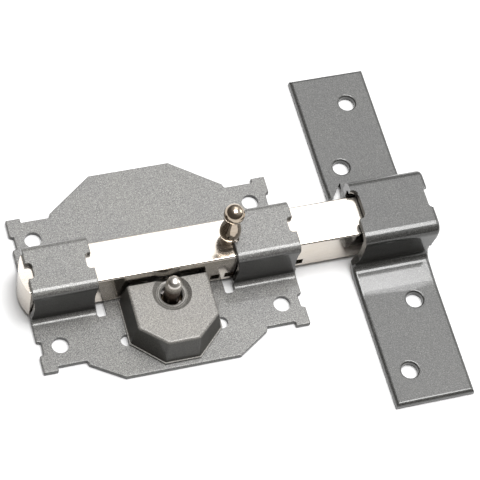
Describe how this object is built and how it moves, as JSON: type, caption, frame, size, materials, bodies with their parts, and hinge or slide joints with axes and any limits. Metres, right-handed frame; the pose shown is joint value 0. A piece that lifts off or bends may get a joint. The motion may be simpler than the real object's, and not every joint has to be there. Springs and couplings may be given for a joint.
{
  "type": "surface-mounted sliding door bolt",
  "caption": "Square bolt that slides through two pressed bridges on a plate, thrown by a pull knob or a push-key wheel and rack, into a bent strap keeper.",
  "frame": {"origin": "centre of the plate's four screw holes, on the plate's back face", "axes": "+X along the bolt towards the keeper, +Y across it, away from the lock, +Z out of the door"},
  "size_m": [0.1712, 0.1564, 0.0436],
  "materials": {
    "plate_paint": "fine metallic grey paint on pressed steel",
    "cover_paint": "fine metallic grey paint on pressed steel",
    "keeper_paint": "darker metallic grey paint on thick steel strap",
    "bolt_nickel": "ground and nickel plated",
    "knob_nickel": "turned and nickel plated",
    "polished_steel": "polished",
    "zinc_steel": "zinc plated",
    "cast_zinc": "as die cast",
    "spring_steel": "oiled",
    "brass": "machined"
  },
  "bodies": {
    "plate": {"base_plate": "plate_paint", "lock_base": "zinc_steel", "base_rivets": "zinc_steel", "guide_pin": "polished_steel", "pump_housing": "cast_zinc", "housing_screws": "zinc_steel", "lock_cover": "cover_paint", "thrust_washer": "brass"},
    "bolt": {"bolt": "bolt_nickel", "knob": "knob_nickel", "knob_stud": "zinc_steel"},
    "barrel": {"toothed_wheel": "zinc_steel", "key_barrel": "brass", "barrel_ring": "zinc_steel", "tumbler_spring": "spring_steel"},
    "tumblers": {"follower_ring": "brass", "tumbler_1": "spring_steel", "tumbler_2": "spring_steel", "tumbler_3": "spring_steel", "tumbler_4": "spring_steel"},
    "keeper": {"keeper": "keeper_paint"}
  },
  "joints": [
    {"name": "bolt_slide", "type": "slide", "parent": "plate", "child": "bolt", "axis": [1, 0, 0], "range_m": [-0.0535, 0]},
    {"name": "barrel_turn", "type": "hinge", "parent": "plate", "child": "barrel", "pos_m": [0.0005, -0.0165, 0.006], "axis": [0, 0, 1], "range_deg": [-0.5, 327.5]},
    {"name": "tumbler_push", "type": "slide", "parent": "barrel", "child": "tumblers", "axis": [0, 0, 1], "range_m": [-0.0012, 0], "stiffness_N_per_m": 200, "springref_m": 0.001, "deforming": ["tumbler_spring"]},
    {"name": "keeper_away", "type": "slide", "parent": "plate", "child": "keeper", "axis": [1, 0, 0], "range_m": [0, 0.05]}
  ],
  "couplings": [
    {"joint": "barrel_turn", "follows": "bolt_slide", "rad_per_m": -106.67}
  ]
}
